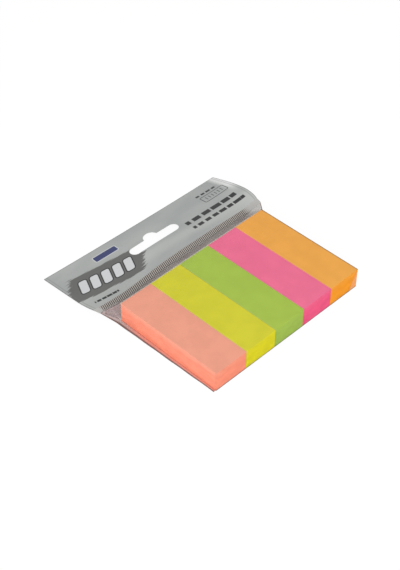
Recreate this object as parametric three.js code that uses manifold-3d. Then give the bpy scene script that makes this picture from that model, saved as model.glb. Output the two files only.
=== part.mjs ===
// Sticky index tabs in their hanging bag, lying flat on a table.
//
// Five pads of paper tabs lie side by side, each on a release-coated backing sheet. One
// folded and welded film bag holds them: it is tight and clear round the pads, closed
// behind them by a ribbed weld, and its two films run on past the weld as a flat header
// with a hang slot.
//
// Millimetres, +Z up, +Y from the pads towards the header. The origin is on the table,
// under the middle of the five pads.

import * as THREE from 'three';
import { mergeVertices } from 'three/addons/utils/BufferGeometryUtils.js';
import Module from 'manifold-3d';

// Pads of tabs
const tabWidth = 14.9;
const tabLength = 50;
const padHeight = 8.3;
const padGap = 0.1;
const padLean = 0.45; // how far the top of a pad leans towards +X
const backingHeight = 0.2;
const pads = [
  { name: 'peach', colour: 0xf2997c },
  { name: 'yellow', colour: 0xd2cf2e },
  { name: 'green', colour: 0x9bc24a },
  { name: 'pink', colour: 0xee5f93 },
  { name: 'orange', colour: 0xf2a140 },
];

// Film bag
const filmWall = 0.1;
const sideClearance = 0.06; // between the pads and the film beside them
const topClearance = 0.1;
const seamThickness = 0.2;
const seamRoot = 0.05;
const seamWidthFront = { left: 0.7, right: 0.15 };
const seamWidthBack = { left: 1.9, right: 1.6 };
const seamWidthWeld = 0.4;
const shoulderLength = 6; // from the pads' back ends to the weld
const shoulderInset = 0.5; // the shoulder is narrower than the weld by this at each end
const hollowEndHeight = 0.04; // what is left of the hollow where it reaches the weld
const ventDiameter = 4;
const ventPad = 1; // the vent is under this pad, counted from the middle one

// Ribbed weld
const weldDepth = 3;
const weldOverhang = 5.6; // how far the weld reaches past the pads, on average
const weldShift = 0.6; // how far its middle sits towards +X
const weldLap = 0.4; // how far the shoulder runs on into the weld
const weldThickness = 0.24;
const ribPitch = 0.8;
const ribHeight = 0.12;
const ribMargin = { left: 1.5, right: 5 }; // plain film at the two ends of the ribs

// Height of the weld above the table, as shares of the bag's height, at places across the
// bag given as shares of the weld's half width. The film is slack on the left.
const weldLine = [
  [-1, 0.33],
  [-0.64, 0.24],
  [-0.14, 0.47],
  [0.46, 0.49],
  [0.84, 0.46],
  [1, 0.58],
];

// Header
const headerThickness = 0.2;
const headerReach = 27.7; // from the weld to the outer edge
const headerSkew = 1; // extra reach at the left corner, missing at the right one
const edgeSag = 0.6; // how far the outer edge bows in at its middle
const headerOverhang = 7.3; // how far the header reaches past the pads on each side
const headerShift = 0.9; // how far its outer edge sits towards +X
const headerPinchLength = 12; // the header narrows to the weld over this length
const cornerLift = 0.25; // middle of the film above the table at the outer corners
const edgeLift = 0.45; // and in the middle of the outer edge
const archHeight = 1.8; // crest of the arch along the right edge
const archStart = 0.1; // where the arch starts, as a share of the header's half width
const archSkew = 0.7; // under 1 puts the crest nearer the weld

// Hang slot
const slotLength = 24.4;
const slotWidth = 4.9;
const slotHumpRadius = 3.3;
const slotHumpRise = 2.8;
const slotFromEdge = 13.9; // from the outer edge to the middle of the slot
const slotTurn = -1.6; // degrees about +Z

// Fineness
const columns = 40;
const headerRows = 9;

// Sizes that follow
const padPitch = tabWidth + padGap;
const blockHalf = (pads.length * padPitch - padGap) / 2;
const pouchHalf = blockHalf + sideClearance + filmWall;
const padBottom = filmWall + backingHeight;
const bagHeight = padBottom + padHeight + topClearance + filmWall;
const pouchEnd = tabLength / 2 + sideClearance + filmWall;
const weldStart = pouchEnd + shoulderLength;
const weldEnd = weldStart + weldDepth;
const weldHalf = blockHalf + weldOverhang;
const headerHalf = blockHalf + headerOverhang;

const wasm = await Module();
wasm.setup();

// Solid from a closed geometry, ready to be joined or cut.
function toSolid(geometry) {
  const bare = geometry.index ? geometry.toNonIndexed() : geometry.clone();
  bare.deleteAttribute('normal');
  bare.deleteAttribute('uv');
  const merged = mergeVertices(bare, 1e-4);
  return new wasm.Manifold(new wasm.Mesh({
    numProp: 3,
    vertProperties: new Float32Array(merged.attributes.position.array),
    triVerts: new Uint32Array(merged.index.array),
  }));
}

function toGeometry(solid) {
  const mesh = solid.getMesh();
  const geometry = new THREE.BufferGeometry();
  geometry.setAttribute('position', new THREE.BufferAttribute(new Float32Array(mesh.vertProperties), 3));
  geometry.setIndex(new THREE.BufferAttribute(new Uint32Array(mesh.triVerts), 1));
  geometry.computeVertexNormals();
  return geometry;
}

// Closed body through a row of sections. Each section is a lower and an upper line of
// points that run together from left to right.
function loft(sections) {
  const count = sections[0].lower.length;
  const size = 2 * count;
  const points = sections.flatMap(({ lower, upper }) => [...lower, ...upper.slice().reverse()]);
  const faces = [];
  const quad = (a, b, c, d) => faces.push(a, b, c, a, c, d);
  for (let start = 0; start < points.length - size; start += size) {
    for (let i = 0; i < size; i++) {
      const next = (i + 1) % size;
      quad(start + i, start + size + i, start + size + next, start + next);
    }
  }
  const last = points.length - size;
  for (let i = 0; i < count - 1; i++) {
    const above = size - 1 - i;
    quad(i, i + 1, above - 1, above);
    quad(last + i, last + above, last + above - 1, last + i + 1);
  }
  const geometry = new THREE.BufferGeometry();
  geometry.setAttribute('position', new THREE.Float32BufferAttribute(points.flatMap((p) => p.toArray()), 3));
  geometry.setIndex(faces);
  return geometry;
}

const shares = Array.from({ length: columns + 1 }, (_, i) => i / columns);

// Sideways shift of the leaning pads, and of the film that follows them, at a height.
function leanAt(z) {
  return padLean * (z / bagHeight - 0.5);
}

const weldCurve = new THREE.SplineCurve(weldLine.map(([x, z]) => new THREE.Vector2(x, z)));
const weldSamples = weldCurve.getPoints(columns * 5);

// Height of the weld's middle surface across the bag.
function weldHeight(x) {
  const share = THREE.MathUtils.clamp((x - weldShift) / weldHalf, -1, 1);
  const after = Math.max(1, weldSamples.findIndex((p) => p.x >= share));
  const [a, b] = [weldSamples[after - 1], weldSamples[after]];
  return bagHeight * (a.y + (b.y - a.y) * (share - a.x) / (b.x - a.x));
}

// Half width of the flat film at y, between the weld and the outer edge.
function filmHalf(y) {
  const rest = THREE.MathUtils.clamp(1 - (y - weldStart) / headerPinchLength, 0, 1);
  return headerHalf - (headerOverhang - weldOverhang) * rest ** 2;
}

// A leaning pad or sheet: a parallelogram pushed along Y.
function slab(bottom, height) {
  const corners = [
    [-tabWidth / 2, bottom],
    [tabWidth / 2, bottom],
    [tabWidth / 2, bottom + height],
    [-tabWidth / 2, bottom + height],
  ];
  const outline = new THREE.Shape(corners.map(([x, z]) => new THREE.Vector2(x + leanAt(z), z)));
  const geometry = new THREE.ExtrudeGeometry(outline, { depth: tabLength, bevelEnabled: false });
  geometry.rotateX(Math.PI / 2);
  geometry.translate(0, tabLength / 2, 0);
  return geometry;
}

// Section of the pouch round the pads, drawn in by inset.
function pouchSection(y, inset) {
  const half = pouchHalf - inset;
  const line = (z) => shares.map((t) => new THREE.Vector3((2 * t - 1) * half + leanAt(z), y, z));
  return { lower: line(inset), upper: line(bagHeight - inset) };
}

// Flat section of the two films where the shoulder meets the weld.
function shoulderEnd(y, thickness, half) {
  const line = (side) => shares.map((t) => {
    const x = weldShift + (2 * t - 1) * half;
    return new THREE.Vector3(x, y, weldHeight(x) + side * thickness / 2);
  });
  return { lower: line(-1), upper: line(1) };
}

// A side seam is a thin fin along the bag: its root stands just proud of the film.
function withSeams({ lower, upper }, left, right) {
  const fin = (low, high, sign, { width, z }) => {
    const wall = THREE.MathUtils.mapLinear(z, low.z, high.z, low.x, high.x);
    return [seamRoot, width].map((out) => [-1, 1].map((side) => (
      new THREE.Vector3(wall + sign * out, low.y, z + side * seamThickness / 2)
    )));
  };
  const [rootL, tipL] = fin(lower[0], upper[0], -1, left);
  const [rootR, tipR] = fin(lower.at(-1), upper.at(-1), 1, right);
  return {
    lower: [tipL[0], rootL[0], ...lower, rootR[0], tipR[0]],
    upper: [tipL[1], rootL[1], ...upper, rootR[1], tipR[1]],
  };
}

// Outer form of the pouch. The left seam lies on the table and the right one halfway up,
// and both run to the ends of the weld.
function pouchOuter() {
  const low = seamThickness / 2;
  const middle = bagHeight / 2;
  const half = weldHalf - shoulderInset;
  const flat = (y) => withSeams(
    shoulderEnd(y, weldThickness, half),
    { width: seamWidthWeld, z: weldHeight(weldShift - half) },
    { width: seamWidthWeld, z: weldHeight(weldShift + half) },
  );
  return loft([
    withSeams(
      pouchSection(-pouchEnd, 0),
      { width: seamWidthFront.left, z: low },
      { width: seamWidthFront.right, z: middle },
    ),
    withSeams(
      pouchSection(pouchEnd, 0),
      { width: seamWidthBack.left, z: low },
      { width: seamWidthBack.right, z: middle },
    ),
    flat(weldStart),
    flat(weldStart + weldLap),
  ]);
}

// The hollow that the pads lie in.
function pouchInner() {
  const end = pouchEnd - filmWall;
  const half = weldHalf - shoulderInset - seamWidthWeld;
  return loft([
    pouchSection(-end, filmWall),
    pouchSection(end, filmWall),
    shoulderEnd(weldStart - filmWall / 2, hollowEndHeight, half),
  ]);
}

// Ribs of the weld: one corrugated strip across the bag.
function ribs() {
  const from = weldShift - weldHalf + ribMargin.left;
  const to = weldShift + weldHalf - ribMargin.right;
  const steps = 2 * Math.floor((to - from) / ribPitch);
  const wave = Array.from({ length: steps + 1 }, (_, k) => {
    const x = from + k * ribPitch / 2;
    return new THREE.Vector2(x, weldHeight(x) + (k % 2 ? ribHeight : -ribHeight));
  });
  const shifted = (dz) => wave.map((p) => new THREE.Vector2(p.x, p.y + dz));
  const outline = [...shifted(-headerThickness / 2), ...shifted(headerThickness / 2).reverse()];
  const depth = weldDepth - weldLap;
  const geometry = new THREE.ExtrudeGeometry(new THREE.Shape(outline), { depth, bevelEnabled: false });
  geometry.rotateX(Math.PI / 2);
  geometry.translate(0, weldEnd, 0);
  return geometry;
}

// A point of the header's middle surface: across runs from -1 at the left edge to 1 at the
// right one, and along from 0 at the weld to 1 at the outer edge.
function headerPoint(across, along) {
  const y = weldEnd + along * (headerReach - headerSkew * across - edgeSag * (1 - across ** 2));
  const x = across * filmHalf(y) + THREE.MathUtils.lerp(weldShift, headerShift, along);
  const edge = edgeLift + (cornerLift - edgeLift) * across ** 2;
  const side = Math.max(0, (across - archStart) / (1 - archStart)) ** 2;
  const arch = archHeight * side * Math.sin(Math.PI * along ** archSkew);
  const z = THREE.MathUtils.lerp(weldHeight(weldShift + across * filmHalf(weldEnd)), edge, along) + arch;
  return new THREE.Vector3(x, y, z);
}

// The header and the flat film of the weld that it grows from.
function headerSheet() {
  const sheet = (middle) => {
    const line = (side) => middle.map(({ x, y, z }) => new THREE.Vector3(x, y, z + side * headerThickness / 2));
    return { lower: line(-1), upper: line(1) };
  };
  const start = shares.map((t) => {
    const x = weldShift + (2 * t - 1) * filmHalf(weldStart);
    return new THREE.Vector3(x, weldStart, weldHeight(x));
  });
  const sections = [sheet(start)];
  for (let row = 0; row <= headerRows; row++) {
    sections.push(sheet(shares.map((t) => headerPoint(2 * t - 1, row / headerRows))));
  }
  return loft(sections);
}

// Prism that cuts the hang slot: a long slot with a round hump towards the outer edge.
function slotCutter() {
  const r = slotWidth / 2;
  const straight = slotLength / 2 - r;
  const humpY = r + slotHumpRise - slotHumpRadius;
  const notch = Math.asin((r - humpY) / slotHumpRadius);
  const outline = new THREE.Shape();
  outline.moveTo(-straight, -r);
  outline.lineTo(straight, -r);
  outline.absarc(straight, 0, r, -Math.PI / 2, Math.PI / 2);
  outline.absarc(0, humpY, slotHumpRadius, notch, Math.PI - notch);
  outline.absarc(-straight, 0, r, Math.PI / 2, 3 * Math.PI / 2);
  const depth = 3 * bagHeight;
  const geometry = new THREE.ExtrudeGeometry(outline, { depth, bevelEnabled: false, curveSegments: 8 });
  geometry.rotateZ(THREE.MathUtils.degToRad(slotTurn));
  const along = 1 - slotFromEdge / headerReach;
  geometry.translate(headerShift * along, weldEnd + headerReach - slotFromEdge, -bagHeight);
  return geometry;
}

// Air hole in the film under one pad, so that the pouch packs flat.
function ventCutter() {
  const geometry = new THREE.CylinderGeometry(ventDiameter / 2, ventDiameter / 2, 3 * filmWall, 24);
  geometry.rotateX(Math.PI / 2);
  geometry.translate(ventPad * padPitch, -tabLength / 4, 0);
  return geometry;
}

function filmBag() {
  const body = [pouchOuter(), headerSheet(), ribs()].map(toSolid).reduce((a, b) => a.add(b));
  const cuts = [pouchInner(), slotCutter(), ventCutter()].map(toSolid);
  return toGeometry(cuts.reduce((a, b) => a.subtract(b), body));
}

const model = new THREE.Group();

function addPiece(name, geometry, material, x = 0) {
  const mesh = new THREE.Mesh(geometry, material);
  mesh.name = name;
  mesh.position.x = x;
  model.add(mesh);
}

pads.forEach(({ name, colour }, i) => {
  const x = (i - (pads.length - 1) / 2) * padPitch;
  const paper = new THREE.MeshStandardMaterial({ color: colour, roughness: 0.85, metalness: 0 });
  const release = new THREE.MeshStandardMaterial({ color: 0xf1efe8, roughness: 0.6, metalness: 0 });
  addPiece(`pad_${name}`, slab(padBottom, padHeight), paper, x);
  addPiece(`backing_sheet_${name}`, slab(filmWall, backingHeight), release, x);
});

const film = new THREE.MeshStandardMaterial({ color: 0xc9ccca, roughness: 0.2, metalness: 0 });
film.transparent = true;
film.opacity = 0.35;
addPiece('film_bag', filmBag(), film);

export default model;
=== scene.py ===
# %% [markdown]
# # Sticky index tabs in a hanging film bag
#
# Five pads of coloured paper tabs lie side by side in one tight bag of clear film. Behind
# the pads the film is welded flat, and it runs on as a silver-grey printed header with a
# slot that hangs on a shop peg.
#
# The CAD model already fixes every size and place. This lesson gives the pads their cut
# sheets, makes the film thin, and gives each surface a material of its own.

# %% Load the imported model
import bisect
import math
import random

import bmesh
import bpy
from mathutils import Matrix, Vector
from mathutils.geometry import interpolate_bezier


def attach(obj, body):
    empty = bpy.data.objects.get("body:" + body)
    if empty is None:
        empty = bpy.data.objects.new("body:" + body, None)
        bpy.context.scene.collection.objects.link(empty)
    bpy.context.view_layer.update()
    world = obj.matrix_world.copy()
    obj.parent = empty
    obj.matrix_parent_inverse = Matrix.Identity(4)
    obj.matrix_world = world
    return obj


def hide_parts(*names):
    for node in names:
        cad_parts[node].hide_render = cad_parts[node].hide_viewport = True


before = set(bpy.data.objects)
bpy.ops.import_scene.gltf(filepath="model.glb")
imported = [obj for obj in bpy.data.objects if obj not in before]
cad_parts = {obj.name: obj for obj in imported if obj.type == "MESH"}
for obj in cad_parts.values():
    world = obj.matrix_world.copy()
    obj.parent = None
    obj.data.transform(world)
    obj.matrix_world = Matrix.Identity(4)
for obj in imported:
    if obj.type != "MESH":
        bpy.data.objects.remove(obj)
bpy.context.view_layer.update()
print("CAD nodes:", len(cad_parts))

# %% [markdown]
# The driving sizes are repeated from the CAD model, in millimetres, and turned into metres
# where a mesh is made. X runs across the pads, Y from the pads to the header, Z up.

# %% Sizes of the real object
MM = 0.001

COLOURS = ["peach", "yellow", "green", "pink", "orange"]
TAB_WIDTH = 14.9
TAB_LENGTH = 50
PAD_HEIGHT = 8.3
PAD_GAP = 0.1
PAD_LEAN = 0.45
BACKING_HEIGHT = 0.2
SHEETS = 100

FILM_WALL = 0.1
CLEARANCE = {"side": 0.06, "top": 0.1}
SHOULDER_LENGTH = 6
SHOULDER_INSET = 0.5
SEAM_THICKNESS = 0.2
SEAM_FRONT = {"left": 0.7, "right": 0.15}
SEAM_BACK = {"left": 1.9, "right": 1.6}
SEAM_WELD = 0.4

WELD_DEPTH = 3
WELD_OVERHANG = 5.6
WELD_SHIFT = 0.6
RIB_PITCH = 0.8
RIB_HEIGHT = 0.12
RIB_MARGIN = {"left": 1.5, "right": 5}
WELD_LINE = [(-1, 0.33), (-0.64, 0.24), (-0.14, 0.47), (0.46, 0.49), (0.84, 0.46), (1, 0.58)]

HEADER_THICKNESS = 0.2
HEADER_REACH = 27.7
HEADER_SKEW = 1
EDGE_SAG = 0.6
HEADER_OVERHANG = 7.3
HEADER_SHIFT = 0.9
PINCH_LENGTH = 12
CORNER_LIFT = 0.25
EDGE_LIFT = 0.45
ARCH_HEIGHT = 1.8
ARCH_START = 0.1
ARCH_SKEW = 0.7

SLOT_LENGTH = 24.4
SLOT_WIDTH = 4.9
HUMP_RADIUS = 3.3
HUMP_RISE = 2.8
SLOT_FROM_EDGE = 13.9
SLOT_TURN = -1.6

PAD_PITCH = TAB_WIDTH + PAD_GAP
BLOCK_HALF = (len(COLOURS) * PAD_PITCH - PAD_GAP) / 2
POUCH_HALF = BLOCK_HALF + CLEARANCE["side"] + FILM_WALL
PAD_BOTTOM = FILM_WALL + BACKING_HEIGHT
BAG_HEIGHT = PAD_BOTTOM + PAD_HEIGHT + CLEARANCE["top"] + FILM_WALL
POUCH_END = TAB_LENGTH / 2 + CLEARANCE["side"] + FILM_WALL
WELD_START = POUCH_END + SHOULDER_LENGTH
WELD_END = WELD_START + WELD_DEPTH
WELD_HALF = BLOCK_HALF + WELD_OVERHANG
HEADER_HALF = BLOCK_HALF + HEADER_OVERHANG
print("pouch", 2 * POUCH_HALF, "x", 2 * POUCH_END, "x", round(BAG_HEIGHT, 2), "mm")

# %% [markdown]
# ## Camera
#
# The photo looks down on the lying bag from its front left corner. The angles, distance
# and focal length come from a fit of the block's corners. The camera only gets a place and
# a lens: its frame is upright, so the long side of the sensor is the height.

# %% Camera
VIEW_AZIMUTH = -43.07
VIEW_ELEVATION = 43.39
VIEW_ROLL = -1.74
VIEW_DISTANCE = 485.25
VIEW_ASIDE = (15.13, -6.80)
FOCAL_PIXELS = 1289.0
FRAME_PIXELS = 570
SENSOR = 36


def camera_matrix():
    azimuth, elevation, roll = (math.radians(a) for a in (VIEW_AZIMUTH, VIEW_ELEVATION, VIEW_ROLL))
    back = Vector((math.sin(azimuth) * math.cos(elevation),
                   -math.cos(azimuth) * math.cos(elevation),
                   math.sin(elevation)))
    level = Vector((0, 0, 1)).cross(back).normalized()
    upright = back.cross(level)
    right = level * math.cos(roll) + upright * math.sin(roll)
    up = upright * math.cos(roll) - level * math.sin(roll)
    place = (back * VIEW_DISTANCE - right * VIEW_ASIDE[0] - up * VIEW_ASIDE[1]) * MM
    turn = Matrix((right, up, back)).transposed()
    return Matrix.Translation(place) @ turn.to_4x4()


lens = bpy.data.cameras.new("camera")
lens.lens = FOCAL_PIXELS / FRAME_PIXELS * SENSOR
lens.sensor_width = SENSOR
lens.clip_start = 0.01
camera = bpy.data.objects.new("camera", lens)
camera.matrix_world = camera_matrix()
bpy.context.scene.collection.objects.link(camera)
bpy.context.scene.camera = camera
bpy.context.scene.view_settings.view_transform = "Standard"
print("lens", round(lens.lens, 2), "mm")

# %% [markdown]
# ## Light and floor
#
# A product photo like this one is lit from all round. Here a plain white world gives more
# than half of the light, and one large soft lamp on the camera's side gives the rest, so
# that the cut sides are as bright as the tops.

# %% World and lamp
WORLD_LIGHT = 0.62
LAMP_POWER = 9.2
LAMP_SIZE = 0.7
LAMP_PLACE = (-0.58, -0.66, 0.6)


def white_world():
    world = bpy.data.worlds.new("studio")
    world.use_nodes = True
    background = world.node_tree.nodes["Background"]
    background.inputs["Color"].default_value = (1, 1, 1, 1)
    background.inputs["Strength"].default_value = WORLD_LIGHT
    bpy.context.scene.world = world


def soft_lamp(place, target):
    light = bpy.data.lights.new("soft_lamp", "AREA")
    light.energy = LAMP_POWER
    light.size = LAMP_SIZE
    lamp = bpy.data.objects.new("soft_lamp", light)
    aim = (Vector(target) - Vector(place)).to_track_quat("-Z", "Y")
    lamp.matrix_world = Matrix.Translation(place) @ aim.to_matrix().to_4x4()
    bpy.context.scene.collection.objects.link(lamp)


white_world()
soft_lamp(LAMP_PLACE, (0, 0, 0))
print("world", WORLD_LIGHT, "lamp", LAMP_POWER, "W")

# %% [markdown]
# ## Small helpers for materials
#
# Every material below is a few nodes on Object coordinates. These helpers add a node, fill
# its sockets and hand back its output, so that a formula reads from left to right.

# %% Material helpers
def linear(red, green, blue):
    """A colour given in 0 to 255, as the linear values that shaders use."""
    def one(value):
        share = value / 255
        return share / 12.92 if share <= 0.04045 else ((share + 0.055) / 1.055) ** 2.4
    return (one(red), one(green), one(blue), 1)


def new_material(name):
    material = bpy.data.materials.new(name)
    material.use_nodes = True
    material.node_tree.nodes.clear()
    return material, material.node_tree


def fill(tree, socket, value):
    if isinstance(value, bpy.types.NodeSocket):
        tree.links.new(value, socket)
    else:
        socket.default_value = value


def node(tree, kind, inputs=(), **settings):
    made = tree.nodes.new(kind)
    for key, value in settings.items():
        setattr(made, key, value)
    for key, value in dict(inputs).items():
        fill(tree, made.inputs[key], value)
    return made


def calc(tree, operation, *values, clamp=False):
    made = tree.nodes.new("ShaderNodeMath")
    made.operation = operation
    made.use_clamp = clamp
    for socket, value in zip(made.inputs, values):
        fill(tree, socket, value)
    return made.outputs[0]


def ramp(tree, value, low, high, start=0.0, end=1.0):
    """Smooth step: start below low, end above high."""
    made = node(tree, "ShaderNodeMapRange", interpolation_type="SMOOTHSTEP",
                inputs={"Value": value, "From Min": low, "From Max": high,
                        "To Min": start, "To Max": end})
    return made.outputs["Result"]


def fade(tree, value, low, high):
    """Smooth step the other way: 1 below low, 0 above high."""
    return ramp(tree, value, low, high, 1.0, 0.0)


def times(tree, first, *others):
    """The product of two or more values."""
    for value in others:
        first = calc(tree, "MULTIPLY", first, value)
    return first


def away(tree, value, centre):
    """Distance of a value from a centre."""
    return calc(tree, "ABSOLUTE", calc(tree, "SUBTRACT", value, centre))


def mix_colour(tree, share, first, second):
    made = node(tree, "ShaderNodeMix", data_type="RGBA")
    fill(tree, made.inputs["Factor"], share)
    fill(tree, made.inputs["A"], first)
    fill(tree, made.inputs["B"], second)
    return made.outputs["Result"]


def mix_shader(tree, share, first, second):
    made = node(tree, "ShaderNodeMixShader", inputs={"Fac": share, 1: first, 2: second})
    return made.outputs[0]


def place_mm(tree):
    """The point on the object, in millimetres."""
    coordinates = node(tree, "ShaderNodeTexCoord").outputs["Object"]
    scaled = node(tree, "ShaderNodeVectorMath", operation="SCALE",
                  inputs={"Vector": coordinates, "Scale": 1 / MM})
    return scaled.outputs["Vector"]


def axes(tree, vector):
    split = node(tree, "ShaderNodeSeparateXYZ", inputs={"Vector": vector})
    return split.outputs["X"], split.outputs["Y"], split.outputs["Z"]


def noise(tree, vector, scale, detail=2.0, roughness=0.5, stretch=None):
    if stretch:
        vector = node(tree, "ShaderNodeMapping",
                      inputs={"Vector": vector, "Scale": stretch}).outputs["Vector"]
    made = node(tree, "ShaderNodeTexNoise",
                inputs={"Vector": vector, "Scale": scale, "Detail": detail, "Roughness": roughness})
    return made.outputs["Fac"]


def bump(tree, height, distance, strength=1.0):
    made = node(tree, "ShaderNodeBump",
                inputs={"Height": height, "Distance": distance, "Strength": strength})
    return made.outputs["Normal"]


def finish_material(tree, shader):
    node(tree, "ShaderNodeOutputMaterial", inputs={"Surface": shader})


print("a grey of 128 is", round(linear(128, 128, 128)[0], 3), "in linear light")

# %% [markdown]
# The floor is the first use of the helpers. Light Path tells the rays that are seen,
# directly, in gloss or through film, from the rest. They meet a glow of nearly full white
# plus a thin diffuse part that takes the contact shadow, and the rest meet plain pale card.

# %% Floor
FLOOR_HALF = 8
FLOOR_DROP = 0.05
FLOOR_GLOW = 0.93
FLOOR_DIFFUSE = 0.08
CARD = 0.85


def floor_material():
    material, tree = new_material("white_card")
    path = node(tree, "ShaderNodeLightPath")
    seen = calc(tree, "MAXIMUM", path.outputs["Is Camera Ray"], path.outputs["Is Glossy Ray"])
    seen = calc(tree, "MAXIMUM", seen, path.outputs["Is Transmission Ray"])
    card = node(tree, "ShaderNodeBsdfDiffuse", inputs={"Color": (CARD, CARD, CARD, 1)})
    thin = node(tree, "ShaderNodeBsdfDiffuse",
                inputs={"Color": (FLOOR_DIFFUSE, FLOOR_DIFFUSE, FLOOR_DIFFUSE, 1)})
    glow = node(tree, "ShaderNodeEmission", inputs={"Strength": FLOOR_GLOW})
    both = node(tree, "ShaderNodeAddShader", inputs={0: thin.outputs[0], 1: glow.outputs[0]})
    finish_material(tree, mix_shader(tree, seen, card.outputs[0], both.outputs[0]))
    return material


def floor():
    bm = bmesh.new()
    bmesh.ops.create_grid(bm, x_segments=1, y_segments=1, size=FLOOR_HALF)
    bmesh.ops.translate(bm, vec=(0, 0, -FLOOR_DROP * MM), verts=bm.verts)
    mesh = bpy.data.meshes.new("floor")
    bm.to_mesh(mesh)
    bm.free()
    mesh.materials.append(floor_material())
    made = bpy.data.objects.new("floor", mesh)
    bpy.context.scene.collection.objects.link(made)
    return made


print("floor", floor().name)

# %% [markdown]
# ## Small helpers for pieces
#
# A piece is a bmesh that becomes an object at the origin. It rides on the only body,
# stands for a CAD node and gets its materials. Modifiers are settled into the mesh at once,
# so that what is printed is the finished mesh.

# %% Piece helpers
def add_piece(name, bm, materials, stands_for):
    mesh = bpy.data.meshes.new(name)
    bm.to_mesh(mesh)
    bm.free()
    for material in materials:
        mesh.materials.append(material)
    piece = bpy.data.objects.new(name, mesh)
    bpy.context.scene.collection.objects.link(piece)
    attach(piece, "root")
    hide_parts(stands_for)
    return piece


def settle(piece):
    """Put the result of the piece's modifiers into its mesh."""
    graph = bpy.context.evaluated_depsgraph_get()
    settled = bpy.data.meshes.new_from_object(piece.evaluated_get(graph))
    piece.modifiers.clear()
    piece.data = settled


def cut(piece, bm):
    """Cut the closed shape in bm out of the piece."""
    mesh = bpy.data.meshes.new("cutter")
    bm.to_mesh(mesh)
    bm.free()
    cutter = bpy.data.objects.new("cutter", mesh)
    bpy.context.scene.collection.objects.link(cutter)
    boolean = piece.modifiers.new("cut", "BOOLEAN")
    boolean.operation = "DIFFERENCE"
    boolean.solver = "EXACT"
    boolean.object = cutter
    settle(piece)
    bpy.data.objects.remove(cutter)
    bpy.data.meshes.remove(mesh)


def thicken(piece, thickness, offset=0.0):
    solidify = piece.modifiers.new("thickness", "SOLIDIFY")
    solidify.thickness = thickness * MM
    solidify.offset = offset
    settle(piece)


def smooth(piece, angle=40):
    piece.data.shade_smooth()
    piece.data.set_sharp_from_angle(angle=math.radians(angle))


def report(piece):
    print(piece.name, len(piece.data.vertices), "vertices", len(piece.data.polygons), "faces")


def lean_at(z):
    """Sideways shift of the leaning pads, and of the film on them, at a height."""
    return PAD_LEAN * (z / BAG_HEIGHT - 0.5)


def blend(first, second, share):
    return first + (second - first) * share


def clamp(value, low=0, high=1):
    return min(max(value, low), high)


print("the bag leans", round(lean_at(BAG_HEIGHT) - lean_at(0), 2), "mm over its height")

# %% [markdown]
# ## Paper
#
# Index tabs are thin fluorescent paper. The top sheet is smooth and slightly mottled. The
# cut sides look more saturated than the top, because light runs between the sheets, and
# each sheet is a shade lighter or darker than the next. Towards the top the sides take on
# the tone of the sheet face. The front side is painted darker than the others, as painted
# shade. So a pad has two materials, one for the sheet faces and one for the cut sides.

# %% Paper materials
PAPER = {
    "peach": {"face": (239, 161, 137), "side": (255, 149, 121)},
    "yellow": {"face": (212, 208, 46), "side": (222, 213, 6)},
    "green": {"face": (167, 195, 74), "side": (160, 190, 78)},
    "pink": {"face": (240, 112, 150), "side": (243, 88, 136)},
    "orange": {"face": (241, 170, 74), "side": (254, 160, 20)},
}
SHEET_HEIGHT = PAD_HEIGHT / SHEETS
SHEET_SHADE = 0.35
FRONT_PAINTED_SHADE = 0.14
RIM_DEPTH = 2.4
RIM_WANDER = 1.2
RIM_SHARE = 0.9
RIM_IN_FRONT = 0.4


def shade(colour, factor):
    """The colour made lighter or darker."""
    return tuple(min(1, value * factor) for value in colour[:3]) + (1,)


def paper_face(name, colour):
    material, tree = new_material(f"{name}_sheet")
    point = place_mm(tree)
    pulp = noise(tree, point, 0.18, detail=3)
    fibre = noise(tree, point, 5.0, detail=4, roughness=0.7)
    base = linear(*colour)
    darker = shade(base, 0.96)
    lighter = shade(base, 1.03)
    tone = mix_colour(tree, ramp(tree, pulp, 0.3, 0.7), darker, lighter)
    tone = mix_colour(tree, ramp(tree, fibre, 0.35, 0.75, 0.0, 0.3), tone, darker)
    shader = node(tree, "ShaderNodeBsdfPrincipled",
                  inputs={"Base Color": tone, "Roughness": 0.75,
                          "Normal": bump(tree, fibre, 0.00001, 0.25)})
    shader.inputs["Specular IOR Level"].default_value = 0.25
    finish_material(tree, shader.outputs[0])
    return material


def paper_side(name, colour, face):
    material, tree = new_material(f"{name}_cut_side")
    point = place_mm(tree)
    _, along, height = axes(tree, point)
    above = calc(tree, "SUBTRACT", height, PAD_BOTTOM)
    sheet = calc(tree, "FLOOR", calc(tree, "DIVIDE", above, SHEET_HEIGHT))
    each = node(tree, "ShaderNodeTexWhiteNoise", noise_dimensions="1D",
                inputs={"W": sheet}).outputs["Value"]
    drift = noise(tree, point, 0.25, detail=2, stretch=(1, 1, 3))
    base = linear(*colour)
    darker = shade(base, 0.9)
    lighter = shade(base, 1.08)
    tone = mix_colour(tree, ramp(tree, drift, 0.3, 0.7), darker, lighter)
    tone = mix_colour(tree, times(tree, each, SHEET_SHADE), tone, darker)
    top = PAD_BOTTOM + PAD_HEIGHT
    pad_front = -TAB_LENGTH / 2
    wander = calc(tree, "ADD", height, times(tree, drift, RIM_WANDER))
    rim = ramp(tree, wander, top - RIM_DEPTH, top + 0.3, 0.0, RIM_SHARE)
    flank = ramp(tree, along, pad_front + 0.1, pad_front + 1.5, RIM_IN_FRONT, 1.0)
    tone = mix_colour(tree, times(tree, rim, flank), tone, shade(linear(*face), 1.04))
    # Painted shade: the front side is darkened towards black.
    front = ramp(tree, along, pad_front + 0.1, pad_front + 1, FRONT_PAINTED_SHADE, 0.0)
    tone = mix_colour(tree, front, tone, (0, 0, 0, 1))
    shader = node(tree, "ShaderNodeBsdfPrincipled", inputs={"Base Color": tone, "Roughness": 0.8})
    shader.inputs["Specular IOR Level"].default_value = 0.2
    finish_material(tree, shader.outputs[0])
    return material


paper = {name: (paper_face(name, tone["face"]), paper_side(name, tone["side"], tone["face"]))
         for name, tone in PAPER.items()}
print("papers", list(paper))

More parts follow.
